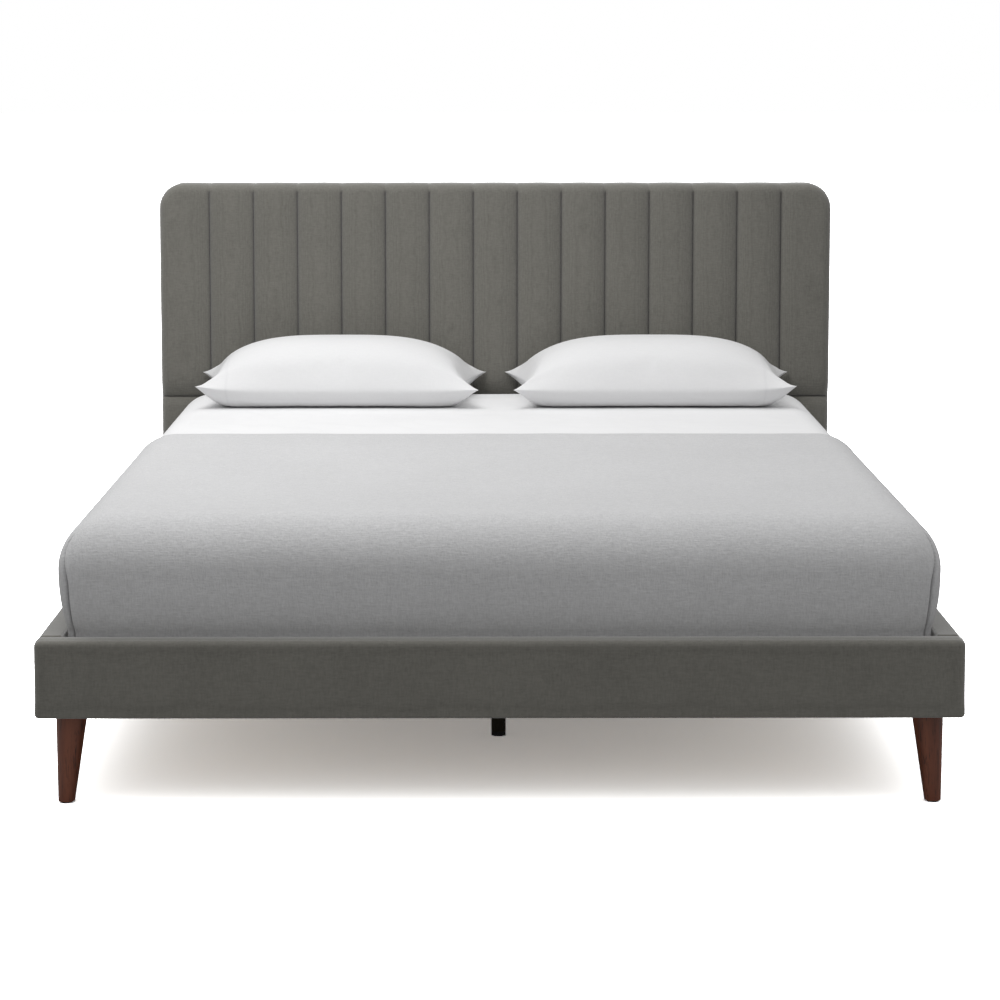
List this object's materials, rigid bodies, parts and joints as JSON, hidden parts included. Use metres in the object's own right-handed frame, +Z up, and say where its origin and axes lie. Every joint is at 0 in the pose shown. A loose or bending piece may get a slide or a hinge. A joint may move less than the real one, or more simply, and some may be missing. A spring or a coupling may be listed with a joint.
{
  "type": "upholstered bed",
  "caption": "Low platform bed with an upholstered frame, a tall vertically channelled headboard and tapered wooden legs, made up with mattress, sheet, blanket and pillows.",
  "frame": {"origin": "on the floor under the middle of the bed", "axes": "+X to the bed's left-hand side as its sleeper lies face up, +Y to the head end, +Z up"},
  "size_m": [1.63, 2.176, 1.005],
  "materials": {
    "frame_timber": "planed softwood, unfinished",
    "face_board": "thin plywood, unfinished",
    "foam": "open-cell upholstery foam",
    "upholstery": "short-pile woven upholstery cloth, grey taupe",
    "backing_cloth": "non-woven backing cloth",
    "slat_timber": "planed pine, unfinished",
    "webbing": "woven tape",
    "bracket_steel": "black powder coat, satin",
    "bronze_steel": "dark bronze powder coat, satin",
    "zinc_steel": "bright zinc plate",
    "yellow_zinc": "yellow zinc plate",
    "black_plastic": "moulded, matte",
    "walnut": "reddish walnut stain, satin lacquer",
    "mattress_cloth": "quilted knit ticking",
    "sheet_cotton": "white percale cotton",
    "blanket_wool": "soft grey-white knitted blanket",
    "pillow_ticking": "white cotton ticking",
    "pillowcase_cotton": "white percale cotton"
  },
  "bodies": {
    "bed_frame": {"headboard_stile_left": "frame_timber", "headboard_stile_right": "frame_timber", "headboard_top_rail": "frame_timber", "headboard_mid_rail": "frame_timber", "headboard_bottom_rail": "frame_timber", "headboard_face_board": "face_board", "headboard_foam": "foam", "headboard_cover": "upholstery", "headboard_backing": "backing_cloth", "side_rail_left": "frame_timber", "side_rail_right": "frame_timber", "foot_rail": "frame_timber", "rail_foam": "foam", "side_rail_left_cover": "upholstery", "side_rail_right_cover": "upholstery", "foot_rail_cover": "upholstery", "slat_ledger_left": "frame_timber", "slat_ledger_right": "frame_timber", "centre_beam": "frame_timber", "beam_hangers": "bracket_steel", "centre_leg_1": "bronze_steel", "centre_leg_2": "bronze_steel", "centre_leg_3": "bronze_steel", "slat_01": "slat_timber", "slat_02": "slat_timber", "slat_03": "slat_timber", "slat_04": "slat_timber", "slat_05": "slat_timber", "slat_06": "slat_timber", "slat_07": "slat_timber", "slat_08": "slat_timber", "slat_09": "slat_timber", "slat_10": "slat_timber", "slat_11": "slat_timber", "slat_12": "slat_timber", "slat_13": "slat_timber", "slat_webbing": "webbing", "corner_brackets": "bracket_steel", "bracket_bolts": "zinc_steel", "corner_blocks": "frame_timber", "leg_front_left": "walnut", "leg_front_right": "walnut", "leg_rear_left": "walnut", "leg_rear_right": "walnut", "leg_hanger_bolts": "zinc_steel", "leg_glides": "black_plastic", "wood_screws": "yellow_zinc"},
    "made_mattress": {"mattress": "mattress_cloth", "fitted_sheet": "sheet_cotton", "blanket": "blanket_wool"},
    "left_pillow": {"pillow_left": "pillow_ticking", "pillowcase_left": "pillowcase_cotton"},
    "right_pillow": {"pillow_right": "pillow_ticking", "pillowcase_right": "pillowcase_cotton"},
    "leveller_1": {"leveller_stud_1": "zinc_steel"},
    "swivel_foot_1": {"leveller_foot_1": "black_plastic"},
    "leveller_2": {"leveller_stud_2": "zinc_steel"},
    "swivel_foot_2": {"leveller_foot_2": "black_plastic"},
    "leveller_3": {"leveller_stud_3": "zinc_steel"},
    "swivel_foot_3": {"leveller_foot_3": "black_plastic"}
  },
  "joints": [
    {"name": "mattress_lift", "type": "slide", "parent": "bed_frame", "child": "made_mattress", "axis": [0, 0, 1], "range_m": [0, 0.8]},
    {"name": "pillow_left_lift", "type": "slide", "parent": "made_mattress", "child": "left_pillow", "axis": [0, 0, 1], "range_m": [0, 0.5]},
    {"name": "pillow_right_lift", "type": "slide", "parent": "made_mattress", "child": "right_pillow", "axis": [0, 0, 1], "range_m": [0, 0.5]},
    {"name": "leveller_1_screw_out", "type": "slide", "parent": "bed_frame", "child": "leveller_1", "axis": [0, 0, -1], "range_m": [0, 0.015]},
    {"name": "leveller_1_foot_spin", "type": "hinge", "parent": "leveller_1", "child": "swivel_foot_1", "pos_m": [0, -0.524, 0], "axis": [0, 0, 1], "continuous": true},
    {"name": "leveller_2_screw_out", "type": "slide", "parent": "bed_frame", "child": "leveller_2", "axis": [0, 0, -1], "range_m": [0, 0.015]},
    {"name": "leveller_2_foot_spin", "type": "hinge", "parent": "leveller_2", "child": "swivel_foot_2", "pos_m": [0, -0.004, 0], "axis": [0, 0, 1], "continuous": true},
    {"name": "leveller_3_screw_out", "type": "slide", "parent": "bed_frame", "child": "leveller_3", "axis": [0, 0, -1], "range_m": [0, 0.015]},
    {"name": "leveller_3_foot_spin", "type": "hinge", "parent": "leveller_3", "child": "swivel_foot_3", "pos_m": [0, 0.516, 0], "axis": [0, 0, 1], "continuous": true}
  ]
}
